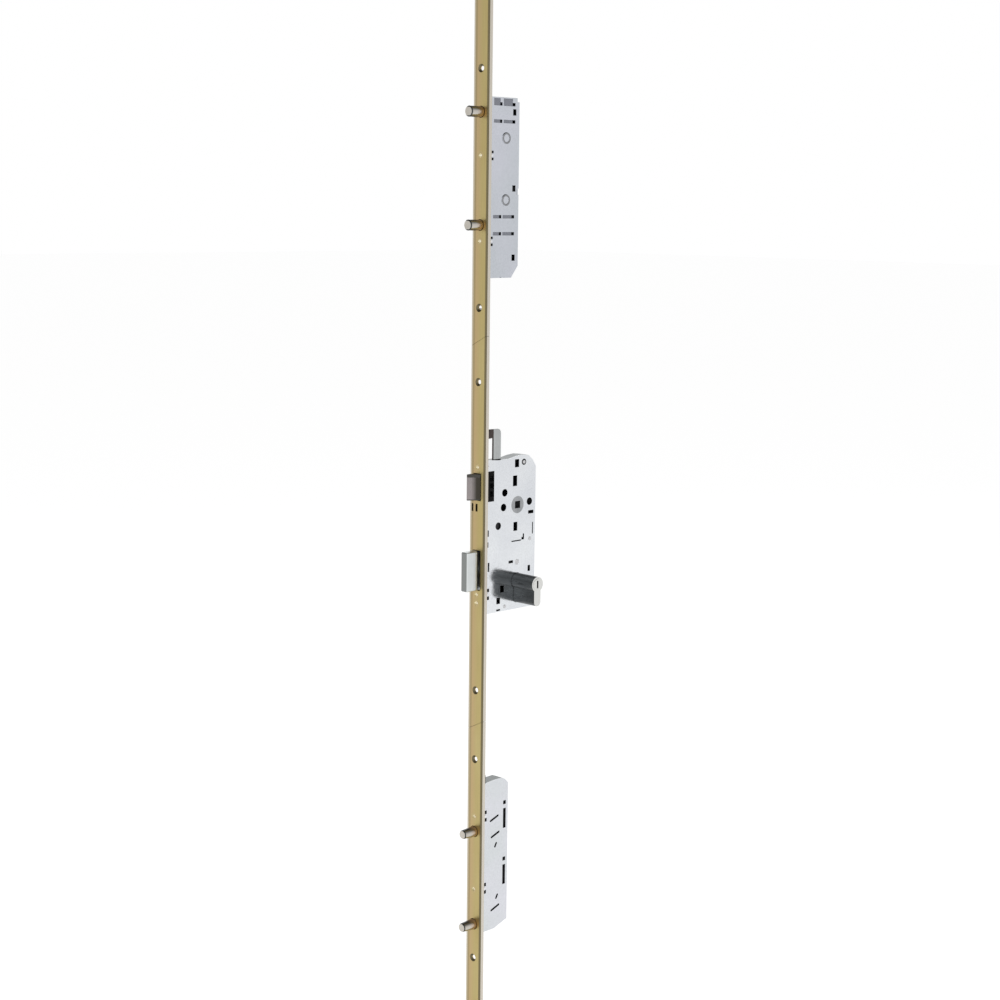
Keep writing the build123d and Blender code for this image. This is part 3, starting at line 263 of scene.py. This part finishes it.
@dataclass(frozen=True)
class MetalFinish:
    """A metal with clouded colour, uneven gloss and a fine grain."""

    name: str
    colour: Colour
    clouds: Colour
    roughness: float = 0.3
    gloss_spread: float = 0.06
    cloud_scale: float = 14.0
    cloud_detail: float = 3.0
    grain: Grain = Grain.EVEN
    grain_scale: float = 900.0
    grain_detail: float = 2.0
    grain_depth: float = 0.05
    fleck_share: float = 0.16
    fleck_shade: float = 0.55
    metallic: float = 1.0
    bands: tuple[Band, ...] = ()

    def build(self) -> bpy.types.Material:
        """Makes the material.

        Returns:
            The finished material.
        """
        tree = Tree(bpy.data.materials.new(self.name))
        place = tree.add("ShaderNodeTexCoord").outputs["Object"]
        clouds = tree.add("ShaderNodeTexNoise", None, Vector=place, Scale=self.cloud_scale,
                          Detail=self.cloud_detail)
        stretch = tree.add("ShaderNodeMapping", None, Vector=place, Scale=self.grain.value)
        grain = tree.add("ShaderNodeTexNoise", None, Vector=stretch.outputs[0],
                         Scale=self.grain_scale, Detail=self.grain_detail)
        tone = tree.spread(clouds.outputs[0], 0.0, 1.0)
        colour = tree.mix(tone, self.colour, self.clouds)
        fleck = tree.spread(grain.outputs[0], 0.0, self.fleck_share)
        colour = tree.mix(fleck, colour, tuple(self.fleck_shade * part for part in self.colour))
        gloss = tree.spread(grain.outputs[0], self.roughness - self.gloss_spread,
                            self.roughness + self.gloss_spread)
        metallic: object = self.metallic
        if self.bands:
            axes = tree.add("ShaderNodeSeparateXYZ", None, Vector=place)
            for band in self.bands:
                inside = band.share(tree, axes)
                colour = tree.mix(inside, colour, band.colour)
                gloss = tree.blend(inside, gloss, band.roughness)
                if band.metallic != self.metallic:
                    metallic = tree.blend(inside, metallic, band.metallic)
        bump = tree.add("ShaderNodeBump", None, Strength=self.grain_depth, Distance=BUMP_HEIGHT,
                        Height=grain.outputs[0])
        shader = tree.add("ShaderNodeBsdfPrincipled", None, Base_Color=colour, Roughness=gloss,
                          Metallic=metallic, Normal=bump.outputs[0])
        tree.add("ShaderNodeOutputMaterial", None, Surface=shader.outputs[0])
        return tree.owner


@dataclass(frozen=True)
class PlasticFinish:
    """Moulded plastic with a fine sparked texture."""

    name: str
    colour: Colour
    scuffed: Colour
    roughness: float = 0.55
    polished_by: float = 0.08
    dulled_by: float = 0.1
    scuff_scale: float = 160.0
    scuff_detail: float = 4.0
    scuff_share: float = 0.6
    texture_scale: float = 1600.0
    texture_detail: float = 2.0
    texture_depth: float = 0.12
    specular_level: float = 0.06

    def build(self) -> bpy.types.Material:
        """Makes the material.

        Returns:
            The finished material.
        """
        tree = Tree(bpy.data.materials.new(self.name))
        place = tree.add("ShaderNodeTexCoord").outputs["Object"]
        texture = tree.add("ShaderNodeTexNoise", None, Vector=place, Scale=self.texture_scale,
                           Detail=self.texture_detail)
        scuffs = tree.add("ShaderNodeTexNoise", None, Vector=place, Scale=self.scuff_scale,
                          Detail=self.scuff_detail)
        worn = tree.spread(scuffs.outputs[0], 0.0, self.scuff_share)
        colour = tree.mix(worn, self.colour, self.scuffed)
        gloss = tree.spread(scuffs.outputs[0], self.roughness - self.polished_by,
                            self.roughness + self.dulled_by)
        bump = tree.add("ShaderNodeBump", None, Strength=self.texture_depth, Distance=BUMP_HEIGHT,
                        Height=texture.outputs[0])
        shader = tree.add("ShaderNodeBsdfPrincipled", None, Base_Color=colour, Roughness=gloss,
                          Specular_IOR_Level=self.specular_level, Normal=bump.outputs[0])
        tree.add("ShaderNodeOutputMaterial", None, Surface=shader.outputs[0])
        return tree.owner


STRIP_BANDS = (
    # the face turns redder from its middle to the inner side
    Band(Along.Y, -3.0 * MM, 4.0 * MM, (0.485, 0.36, 0.185), 0.36, fades=True),
    # painted shade and light: the dark bend on the cover side, and the darker stripe and the pale
    # bend on the inner side
    Band(Along.Y, -12.0 * MM, -9.3 * MM, (0.20, 0.165, 0.085), 0.42),
    Band(Along.Y, 5.6 * MM, 8.4 * MM, (0.37, 0.29, 0.155), 0.38),
    Band(Along.Y, 8.4 * MM, 12.0 * MM, (0.56, 0.50, 0.39), 0.40),
    # painted light and shade: the pale outer faces of both sides, and the dark line along them
    # behind the face
    Band(Along.Y, 10.94 * MM, 11.1 * MM, (0.60, 0.555, 0.48), 0.36, both_sides=True),
    Band(Along.X, -2.9 * MM, -1.1 * MM, (0.17, 0.145, 0.085), 0.42))
STRIP_BRASS = MetalFinish(
    "strip_brass_coating", (0.50, 0.415, 0.19), (0.455, 0.36, 0.15), roughness=0.34,
    cloud_scale=9.0, grain=Grain.ALONG_Z, grain_scale=1400.0, grain_depth=0.10,
    bands=STRIP_BANDS)
# the three covers are one zinc; their different greys are painted light and shade
CENTRE_ZINC = MetalFinish(
    "centre_cover_zinc", (0.77, 0.79, 0.81), (0.69, 0.71, 0.745), roughness=0.14,
    gloss_spread=0.035, cloud_scale=22.0, grain_scale=500.0, grain_depth=0.04)
UPPER_ZINC = MetalFinish(
    "upper_cover_zinc", (0.57, 0.585, 0.64), (0.515, 0.55, 0.58), roughness=0.14,
    gloss_spread=0.035, cloud_scale=18.0, grain_scale=500.0, grain_depth=0.04)
LOWER_ZINC = MetalFinish(
    "lower_cover_zinc", (0.66, 0.665, 0.71), (0.61, 0.64, 0.65), roughness=0.14,
    gloss_spread=0.035, cloud_scale=18.0, grain_scale=500.0, grain_depth=0.04)
# painted shade for the insides of the pans, their pressings, bosses and roofs, and a painted dark
# reflection for the bolts' flanks
SHADE_BLACK = (0.012, 0.012, 0.013)
SHADE_GREY = (0.17, 0.175, 0.225)
SHADED = (0.25, 0.255, 0.265)
PRESSING_SHADE = (0.24, 0.25, 0.285)
ROOF_SHADE = (0.30, 0.32, 0.32)
FLANK_REFLECTION = (0.10, 0.10, 0.10)
JOINT_ZINC = MetalFinish(
    "joint_plate_zinc", (0.56, 0.57, 0.58), (0.46, 0.47, 0.49), roughness=0.34, cloud_scale=40.0,
    grain=Grain.ALONG_Z, grain_scale=700.0)
# painted shade: the slide is dark in front of its hook and inside the case
HOOK_ZINC = MetalFinish(
    "hook_slide_steel", (0.47, 0.485, 0.485), (0.41, 0.425, 0.425), roughness=0.34,
    cloud_scale=60.0, grain=Grain.ALONG_Z, grain_scale=700.0,
    bands=(Band(Along.X, -20.0 * MM, 16.4 * MM, (0.05, 0.034, 0.03), 0.5, 0.3),
           Band(Along.Z, -240.0 * MM, 53.0 * MM, (0.022, 0.022, 0.024), 0.6, 0.3)))
# inner parts: phosphated steel, darkened further as painted shade inside the cases
DARK_STEEL = MetalFinish(
    "inner_phosphated_shaded_steel", (0.030, 0.030, 0.032), (0.020, 0.020, 0.021), roughness=0.55,
    cloud_scale=60.0, grain_scale=1100.0, grain_depth=0.1, metallic=0.4)
# the rods' dark brown is painted shade behind the strip
ROD_STEEL = MetalFinish(
    "rod_shaded_steel", (0.060, 0.042, 0.038), (0.042, 0.030, 0.028), roughness=0.48,
    cloud_scale=40.0, grain=Grain.ALONG_Z, grain_scale=900.0, metallic=0.5)
RIVET_STEEL = MetalFinish(
    "rivet_bright_steel", (0.62, 0.62, 0.63), (0.52, 0.52, 0.53), roughness=0.30,
    cloud_scale=120.0)
# painted shade: the blocks are dark round their riveted ends, which are bright
BLOCK_STEEL = MetalFinish(
    "block_dark_steel", (0.035, 0.035, 0.036), (0.024, 0.024, 0.025), roughness=0.5,
    cloud_scale=120.0, metallic=0.4,
    bands=(Band(Along.Y, 7.3 * MM, 8.3 * MM, (0.72, 0.72, 0.74), 0.25, both_sides=True),))
# the screws are strip-coloured on the face, and bright in their holes as a painted highlight
SCREW_STEEL = MetalFinish(
    "screw_brass_highlight", (0.95, 0.90, 0.74), (0.86, 0.80, 0.62), roughness=0.24,
    cloud_scale=160.0, bands=(Band(Along.X, -3.3 * MM, -2.9 * MM, (0.47, 0.37, 0.185), 0.34),))
# painted shade: the deadbolt's end face is greyer
DEADBOLT_STEEL = MetalFinish(
    "deadbolt_satin_steel", (0.70, 0.73, 0.73), (0.63, 0.655, 0.66), roughness=0.33,
    cloud_scale=45.0, grain=Grain.ALONG_Z, grain_scale=900.0, grain_depth=0.06,
    bands=(Band(Along.X, -22.2 * MM, -21.6 * MM, (0.25, 0.26, 0.255), 0.4),))
# painted shade: the latch darkens towards the strip, and along its upper and lower rims
LATCH_STEEL = MetalFinish(
    "latch_polished_steel", (0.34, 0.305, 0.30), (0.285, 0.26, 0.26), roughness=0.22,
    cloud_scale=60.0, grain=Grain.ALONG_Z, grain_scale=900.0,
    bands=(Band(Along.X, -11.0 * MM, -6.5 * MM, (0.055, 0.05, 0.04), 0.3, fades=True),
           Band(Along.Z, 34.9 * MM, 38.4 * MM, (0.045, 0.042, 0.034), 0.4, 0.0),
           Band(Along.Z, 9.6 * MM, 10.9 * MM, (0.035, 0.035, 0.033), 0.4, 0.0)))
# painted reflection and light: the cylinder's sides are dark and its two ends bright
CYLINDER_NICKEL = MetalFinish(
    "cylinder_satin_nickel", (0.10, 0.107, 0.11), (0.074, 0.078, 0.081), roughness=0.30,
    cloud_scale=55.0, grain=Grain.ALONG_Y, grain_scale=1300.0, grain_depth=0.07,
    bands=(Band(Along.Y, -41.0 * MM, -39.9 * MM, (0.66, 0.66, 0.64), 0.30),
           Band(Along.Y, 34.9 * MM, 36.0 * MM, (0.66, 0.66, 0.64), 0.30)))
SPRING_WIRE = MetalFinish(
    "spring_wire_steel", (0.20, 0.20, 0.205), (0.15, 0.15, 0.155), roughness=0.3,
    cloud_scale=80.0)
GEAR_STEEL = MetalFinish(
    "gear_sintered_steel", (0.050, 0.050, 0.052), (0.034, 0.034, 0.036), roughness=0.5,
    cloud_scale=120.0, grain_scale=1500.0, grain_depth=0.15, metallic=0.6)
# painted shade: the follower is dark between its two end faces, inside the case
FOLLOWER_STEEL = MetalFinish(
    "follower_sintered_steel", (0.40, 0.41, 0.42), (0.31, 0.32, 0.33), roughness=0.4,
    cloud_scale=120.0, grain_scale=1500.0, grain_depth=0.10,
    bands=(Band(Along.Y, -7.3 * MM, 7.3 * MM, (0.020, 0.020, 0.021), 0.6, 0.3),))
GUIDE_PLASTIC = PlasticFinish("guide_black_plastic", (0.005, 0.005, 0.0055),
                              (0.011, 0.011, 0.011))


@dataclass
class Bench:
    """Keeps the built finishes and dresses the lock's nodes with them."""

    weld: float = 0.002 * MM
    flat_angle: float = math.radians(0.5)
    sharp_angle: float = math.radians(32)
    flat_weight: int = 100
    built: dict[str, bpy.types.Material] = field(default_factory=dict)

    def material(self, finish: MetalFinish | PlasticFinish) -> bpy.types.Material:
        """Finds a finish's material, and builds it the first time.

        Args:
            finish: The finish.

        Returns:
            Its material.
        """
        if finish.name not in self.built:
            self.built[finish.name] = finish.build()
        return self.built[finish.name]

    def dress(self, node: str, finish: MetalFinish | PlasticFinish) -> None:
        """Gives a node of the frame a finish in place of its plain one.

        Args:
            node: The node's name.
            finish: The finish that it gets.
        """
        slots = frame["nodes"][node].data.materials
        slots.clear()
        slots.append(self.material(finish))
        log.info("dressed %s", node)

    def soften(self, node: str, finish: MetalFinish | PlasticFinish, edge: float,
               steps: int = 2) -> None:
        """Makes a piece from a node's shape with its sharp edges rounded, in the node's place.

        Args:
            node: The node that the piece stands for.
            finish: The finish that it gets.
            edge: The width of the rounding.
            steps: The steps of the rounding.
        """
        source = frame["nodes"][node]
        shape = bmesh.new()
        shape.from_mesh(source.data)
        bmesh.ops.remove_doubles(shape, verts=shape.verts, dist=self.weld)
        bmesh.ops.dissolve_limit(shape, angle_limit=self.flat_angle, verts=shape.verts,
                                 edges=shape.edges)
        mesh = bpy.data.meshes.new(node + "_finished")
        shape.to_mesh(mesh)
        shape.free()
        mesh.materials.append(self.material(finish))
        mesh.shade_smooth()
        piece = bpy.data.objects.new(node + "_finished", mesh)
        bpy.context.scene.collection.objects.link(piece)
        rounding = piece.modifiers.new("rounded_edges", "BEVEL")
        rounding.width = edge
        rounding.segments = steps
        rounding.limit_method = "ANGLE"
        rounding.angle_limit = self.sharp_angle
        flat = piece.modifiers.new("flat_faces", "WEIGHTED_NORMAL")
        flat.weight = self.flat_weight
        flat.keep_sharp = True
        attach(piece, source["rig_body"])
        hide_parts(node)
        log.info("finished %s", node)


@dataclass
class FaceplateStrip:
    """The three lengths of strip, their joint plates and the screws in them."""

    lengths: tuple[str, ...] = ("upper_faceplate", "centre_faceplate", "lower_faceplate")
    screws: tuple[str, ...] = ("case_screws", "cylinder_screw")
    strip_edge: float = 0.25 * MM
    rivet_edge: float = 0.3 * MM
    screw_edge: float = 0.12 * MM

    def build(self, bench: Bench) -> None:
        """Finishes the strip and what is riveted or screwed to it.

        Args:
            bench: The bench that holds the finishes.
        """
        for node in self.lengths:
            bench.soften(node, STRIP_BRASS, self.strip_edge)
        bench.dress("joint_plates", JOINT_ZINC)
        bench.soften("joint_rivets", RIVET_STEEL, self.rivet_edge)
        for node in self.screws:
            bench.soften(node, SCREW_STEEL, self.screw_edge)


@dataclass
class SheetCase:
    """One case of folded sheet with its cover and fixing blocks.

    The cover's pressed areas have the colour pressed, painted shade in their recess, and the pan
    shows the colour base, painted shade inside it, through the cover's cut-outs.
    """

    name: str
    finish: MetalFinish
    roof_drop: float
    pressed: Colour
    base: Colour = SHADE_BLACK
    base_span: tuple[float, float] = (6.2 * MM, 6.4 * MM)
    rim_span: tuple[float, float] = (-1.3 * MM, -1.1 * MM)
    pressed_span: tuple[float, float] = (-7.05 * MM, -6.95 * MM)
    boss_span: tuple[float, float] = (-8.6 * MM, -8.15 * MM)
    roof_play: float = 0.1 * MM
    pan_edge: float = 0.3 * MM
    cover_edge: float = 0.2 * MM
    block_edge: float = 0.2 * MM

    def pan_finish(self) -> MetalFinish:
        """Makes the pan's finish, with painted shade: dark inside the base and rim, and grey on the
        roof.

        Returns:
            The finish.
        """
        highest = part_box(self.name + "_case_body")[1]
        rim_low, rim_high = (highest.x + place for place in self.rim_span)
        base = Band(Along.Y, *self.base_span, self.base, roughness=0.7, metallic=0.0)
        rim = Band(Along.X, rim_low, rim_high, SHADE_BLACK, roughness=0.7, metallic=0.0)
        roof = Band(Along.Z, highest.z - self.roof_drop, highest.z + self.roof_play, ROOF_SHADE,
                    roughness=0.4)
        return replace(self.finish, name=self.name + "_pan_zinc", bands=(base, rim, roof))

    def cover_finish(self) -> MetalFinish:
        """Makes the cover's finish, with its pressed areas and bosses greyer as painted shade.

        Returns:
            The finish.
        """
        pressed = Band(Along.Y, *self.pressed_span, self.pressed, roughness=0.5, metallic=0.5)
        boss = Band(Along.Y, *self.boss_span, SHADED, roughness=0.3)
        return replace(self.finish, bands=(pressed, boss))

    def build(self, bench: Bench) -> None:
        """Finishes the pan, the cover and the blocks.

        Args:
            bench: The bench that holds the finishes.
        """
        bench.soften(self.name + "_case_body", self.pan_finish(), self.pan_edge)
        bench.soften(self.name + "_case_cover", self.cover_finish(), self.cover_edge)
        bench.soften(self.name + "_case_blocks", BLOCK_STEEL, self.block_edge)


@dataclass
class CentreMechanism:
    """Latch, deadbolt, follower and gears of the centre case."""

    gear_nodes: tuple[str, ...] = ("drive_gear", "cylinder_cam")
    spring_nodes: tuple[str, ...] = ("latch_spring", "follower_spring")
    post_edge: float = 0.3 * MM
    guide_edge: float = 0.25 * MM
    latch_edge: float = 0.35 * MM
    deadbolt_edge: float = 0.5 * MM
    follower_edge: float = 0.25 * MM

    def build(self, bench: Bench) -> None:
        """Finishes what the centre case holds.

        Args:
            bench: The bench that holds the finishes.
        """
        bench.soften("centre_case_posts", RIVET_STEEL, self.post_edge)
        bench.soften("latch_guide", GUIDE_PLASTIC, self.guide_edge)
        bench.soften("latch_bolt", LATCH_STEEL, self.latch_edge, FINE_STEPS)
        bench.dress("latch_tail", DARK_STEEL)
        bench.soften("deadbolt", DEADBOLT_STEEL, self.deadbolt_edge, FINE_STEPS)
        bench.dress("deadbolt_tail", DARK_STEEL)
        bench.soften("follower", FOLLOWER_STEEL, self.follower_edge)
        for node in self.gear_nodes:
            bench.dress(node, GEAR_STEEL)
        for node in self.spring_nodes:
            bench.dress(node, SPRING_WIRE)


@dataclass
class DriveSlides:
    """Slides and rods behind the strip."""

    slides: tuple[str, ...] = ("upper_drive_slide", "lower_drive_slide")
    rods: tuple[str, ...] = ("upper_drive_rod", "lower_drive_rod")
    edge: float = 0.2 * MM

    def build(self, bench: Bench) -> None:
        """Finishes the slides and rods.

        Args:
            bench: The bench that holds the finishes.
        """
        bench.soften("main_drive_slide", HOOK_ZINC, self.edge)
        for node in self.slides:
            bench.soften(node, DARK_STEEL, self.edge)
        for node in self.rods:
            bench.soften(node, ROD_STEEL, self.edge)


@dataclass
class RoundBolts:
    """The four round bolts and their carriers."""

    places: tuple[str, ...] = ("upper_high", "upper_low", "lower_high", "lower_low")
    edge: float = 0.4 * MM
    flank_rise: float = 5.25 * MM
    flank_half_width: float = 0.95 * MM

    def flanks(self) -> list[Band]:
        """Makes the dark bands of painted reflection along the upper and lower side of each bolt.

        Returns:
            The bands, in the order of the bolts.
        """
        bands = []
        for place in self.places:
            lowest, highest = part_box(place + "_bolt")
            axis_height = (lowest.z + highest.z) / 2
            for middle in (axis_height - self.flank_rise, axis_height + self.flank_rise):
                bands.append(Band(Along.Z, middle - self.flank_half_width,
                                  middle + self.flank_half_width, FLANK_REFLECTION, roughness=0.3,
                                  metallic=0.8))
        return bands

    def finish(self) -> MetalFinish:
        """Makes the bolts' finish: painted dark reflection along the flanks, painted shade round
        the tip, and a painted brassy reflection of the strip at the root.

        Returns:
            The finish.
        """
        root = Band(Along.X, -13.0 * MM, -5.5 * MM, (0.50, 0.345, 0.215), roughness=0.3,
                    fades=True)
        tip = Band(Along.X, -20.85 * MM, -19.5 * MM, (0.05, 0.055, 0.052), roughness=0.35,
                   metallic=0.7)
        return MetalFinish(
            "bolt_polished_steel", (0.56, 0.53, 0.48), (0.48, 0.45, 0.40), roughness=0.14,
            gloss_spread=0.04, cloud_scale=90.0, grain=Grain.ALONG_Y, grain_scale=1200.0,
            grain_depth=0.06, bands=(*self.flanks(), root, tip))

    def build(self, bench: Bench) -> None:
        """Finishes the bolts and carriers.

        Args:
            bench: The bench that holds the finishes.
        """
        polished = self.finish()
        for place in self.places:
            bench.soften(place + "_bolt", polished, self.edge, FINE_STEPS)
            bench.dress(place + "_carrier", DARK_STEEL)


@dataclass
class ProfileCylinder:
    """The cylinder body and its two plugs."""

    nodes: tuple[str, ...] = ("cylinder_body", "outer_plug", "inner_plug")
    edge: float = 0.3 * MM

    def build(self, bench: Bench) -> None:
        """Finishes the body and plugs."""
        for node in self.nodes:
            bench.soften(node, CYLINDER_NICKEL, self.edge)


@dataclass
class Lamp:
    """A square soft light aimed at the lock."""

    name: str
    place: tuple[float, float, float]
    watts: float
    size: float = 2.2

    def build(self) -> None:
        """Adds the light to the scene."""
        data = bpy.data.lights.new(self.name, "AREA")
        data.size = self.size
        data.energy = self.watts
        lamp = bpy.data.objects.new(self.name, data)
        lamp.location = self.place
        lamp.rotation_euler = (-Vector(self.place)).to_track_quat("-Z", "Y").to_euler()
        bpy.context.scene.collection.objects.link(lamp)


@dataclass
class Studio:
    """White surroundings, a pale floor, soft lights and the camera."""

    azimuth: float = -44.74
    elevation: float = 8.71
    roll: float = 0.65
    distance: float = 2.0653
    aim_right: float = 0.0229
    aim_up: float = 0.0093
    lens: float = 68.4
    sensor_width: float = 36.0
    room_light: float = 0.62
    white: Colour = (1.0, 1.0, 1.0)
    overhead_start: tuple[float, float] = (0.12, 1.0)
    overhead_end: tuple[float, float] = (0.75, 0.12)
    floor_half_width: float = 30.0
    floor_grey: Colour = (0.85, 0.85, 0.85)
    floor_glow: float = 0.46
    lamps: list[Lamp] = field(default_factory=lambda: [
        Lamp("key_light", (-0.5, -2.4, 1.6), 16.0),
        Lamp("fill_light", (-2.6, -0.3, 1.3), 9.0),
        Lamp("back_light", (1.2, 2.3, 1.5), 9.0),
    ])

    def build(self) -> None:
        """Makes the surroundings, the floor, the lights and the camera."""
        self.build_world()
        self.build_floor()
        for lamp in self.lamps:
            lamp.build()
        self.build_camera()

    def seen_share(self, tree: Tree, kinds: tuple[str, ...]) -> bpy.types.NodeSocket:
        """Adds nodes that are 1 for the given kinds of ray.

        Args:
            tree: The tree that gets the nodes.
            kinds: The Light Path outputs to take together.

        Returns:
            The output socket that is 1 for those rays.
        """
        path = tree.add("ShaderNodeLightPath")
        share: object = 0.0
        for kind in kinds:
            share = tree.math("MAXIMUM", share, path.outputs[kind])
        return share

    def build_world(self) -> None:
        """White to the camera, dimmer as a light, and in metal greyer overhead."""
        world = bpy.data.worlds.new("studio")
        bpy.context.scene.world = world
        tree = Tree(world)
        direction = tree.add("ShaderNodeTexCoord").outputs["Generated"]
        height = tree.add("ShaderNodeSeparateXYZ", None, Vector=direction).outputs["Z"]
        overhead = tree.ramp(height, self.overhead_start, self.overhead_end)
        seen = self.seen_share(tree, ("Is Camera Ray", "Is Transmission Ray"))
        mirrored = self.seen_share(tree, ("Is Glossy Ray",))
        dim = tree.blend(mirrored, self.room_light, overhead)
        light = tree.add("ShaderNodeBackground", None, Color=self.white,
                         Strength=tree.blend(seen, dim, 1.0))
        tree.add("ShaderNodeOutputWorld", None, Surface=light.outputs[0])

    def build_floor(self) -> None:
        """A plain pale floor under the strip's end."""
        shape = bmesh.new()
        bmesh.ops.create_grid(shape, x_segments=1, y_segments=1, size=self.floor_half_width,
                              matrix=Matrix.Translation((0.0, 0.0, cad_box[0].z)))
        mesh = bpy.data.meshes.new("floor")
        shape.to_mesh(mesh)
        shape.free()
        floor = bpy.data.objects.new("floor", mesh)
        bpy.context.scene.collection.objects.link(floor)
        tree = Tree(bpy.data.materials.new("floor_pale"))
        seen = self.seen_share(tree, ("Is Camera Ray", "Is Glossy Ray", "Is Transmission Ray"))
        glow = tree.add("ShaderNodeEmission", None,
                        Strength=tree.math("MULTIPLY", seen, self.floor_glow))
        matt = tree.add("ShaderNodeBsdfDiffuse", None, Color=self.floor_grey)
        both = tree.add("ShaderNodeAddShader")
        for socket, part in zip(both.inputs, (glow, matt)):
            tree.feed(socket, part.outputs[0])
        tree.add("ShaderNodeOutputMaterial", None, Surface=both.outputs[0])
        mesh.materials.append(tree.owner)

    def build_camera(self) -> None:
        """The camera, at the photograph's viewing angle."""
        around, above = math.radians(self.azimuth), math.radians(self.elevation)
        level_reach = math.cos(above)
        back = Vector((math.sin(around) * level_reach, -math.cos(around) * level_reach,
                       math.sin(above)))
        level = Vector((0.0, 0.0, 1.0)).cross(back).normalized()
        upright = back.cross(level)
        lean = math.radians(self.roll)
        right = math.cos(lean) * level + math.sin(lean) * upright
        top = -math.sin(lean) * level + math.cos(lean) * upright
        data = bpy.data.cameras.new("camera")
        data.lens = self.lens
        data.sensor_width = self.sensor_width
        camera = bpy.data.objects.new("camera", data)
        turn = Matrix((right, top, back)).transposed().to_4x4()
        place = self.distance * back + self.aim_right * right + self.aim_up * top
        camera.matrix_world = Matrix.Translation(place) @ turn
        bpy.context.scene.collection.objects.link(camera)
        bpy.context.scene.camera = camera


def main() -> None:
    """Builds the lock's looks and the studio in order."""
    logging.basicConfig(level=logging.INFO)
    bpy.context.scene.view_settings.view_transform = "Standard"
    bench = Bench()
    Studio().build()
    FaceplateStrip().build(bench)
    SheetCase("upper", UPPER_ZINC, 0.3 * MM, PRESSING_SHADE, SHADE_GREY).build(bench)
    SheetCase("centre", CENTRE_ZINC, 3.3 * MM, SHADE_BLACK).build(bench)
    SheetCase("lower", LOWER_ZINC, 2.3 * MM, PRESSING_SHADE).build(bench)
    CentreMechanism().build(bench)
    DriveSlides().build(bench)
    RoundBolts().build(bench)
    ProfileCylinder().build(bench)


if __name__ == "__main__":
    main()
